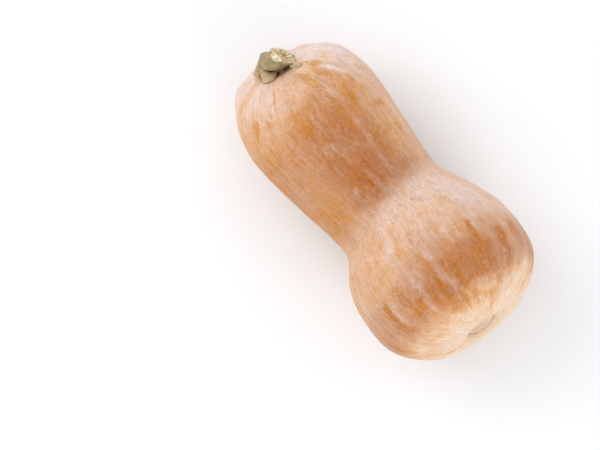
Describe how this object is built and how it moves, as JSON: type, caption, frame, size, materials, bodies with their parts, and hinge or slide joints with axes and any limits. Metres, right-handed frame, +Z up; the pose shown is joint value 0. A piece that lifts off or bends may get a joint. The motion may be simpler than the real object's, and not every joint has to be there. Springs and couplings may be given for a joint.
{
  "type": "butternut squash",
  "caption": "Whole butternut squash lying on its side: smooth tan neck, rounder ribbed bulb, woody cut stem and a small blossom scar.",
  "frame": {"origin": "on the surface that the squash lies on, under the middle of its bounding box", "axes": "+X along the fruit from the stem end to the blossom end, +Z up, +Y to the left of +X"},
  "size_m": [0.2326, 0.1176, 0.1171],
  "materials": {
    "rind": "Waxy tan-orange rind under a patchy pale pinkish bloom, rubbed through to deeper orange, creamier towards the blossom end",
    "stem": "Dry grey-green corky stalk with tan feet and a rough pale straw-coloured cut face"
  },
  "bodies": {
    "root": {"fruit": "rind", "stem": "stem"}
  },
  "joints": []
}
